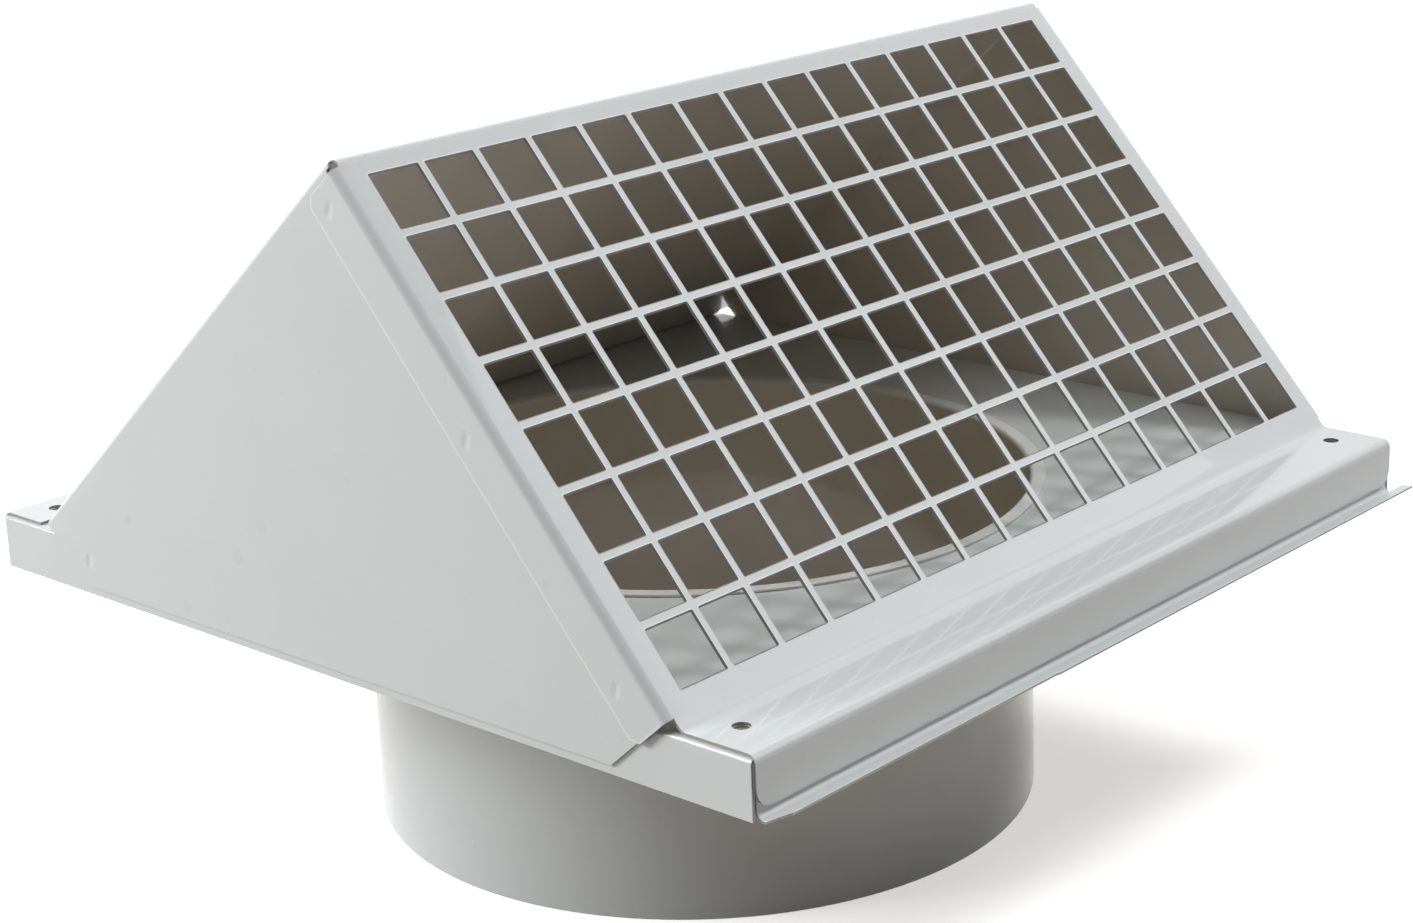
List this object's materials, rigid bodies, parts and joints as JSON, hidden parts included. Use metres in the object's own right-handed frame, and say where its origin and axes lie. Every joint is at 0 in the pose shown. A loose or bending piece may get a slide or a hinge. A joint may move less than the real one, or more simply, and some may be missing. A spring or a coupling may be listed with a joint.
{
  "type": "wall vent hood",
  "caption": "White sheet-metal wall vent hood: gabled hood with a punched square-mesh grille on its front slope, a shallow base pan and a round duct collar below.",
  "frame": {"origin": "centre of the collar's open end", "axes": "+Z along the collar axis, from the duct towards the hood's ridge; +X along the ridge; the grille faces -Y and up"},
  "size_m": [0.2298, 0.2268, 0.1672],
  "materials": {
    "collar_paint": "gloss white coat on steel sheet",
    "pan_paint": "gloss white coat on steel sheet",
    "hood_paint": "gloss white coat outside, taupe back coat inside"
  },
  "bodies": {
    "root": {"collar": "collar_paint", "base_pan": "pan_paint", "hood": "hood_paint"}
  },
  "joints": []
}
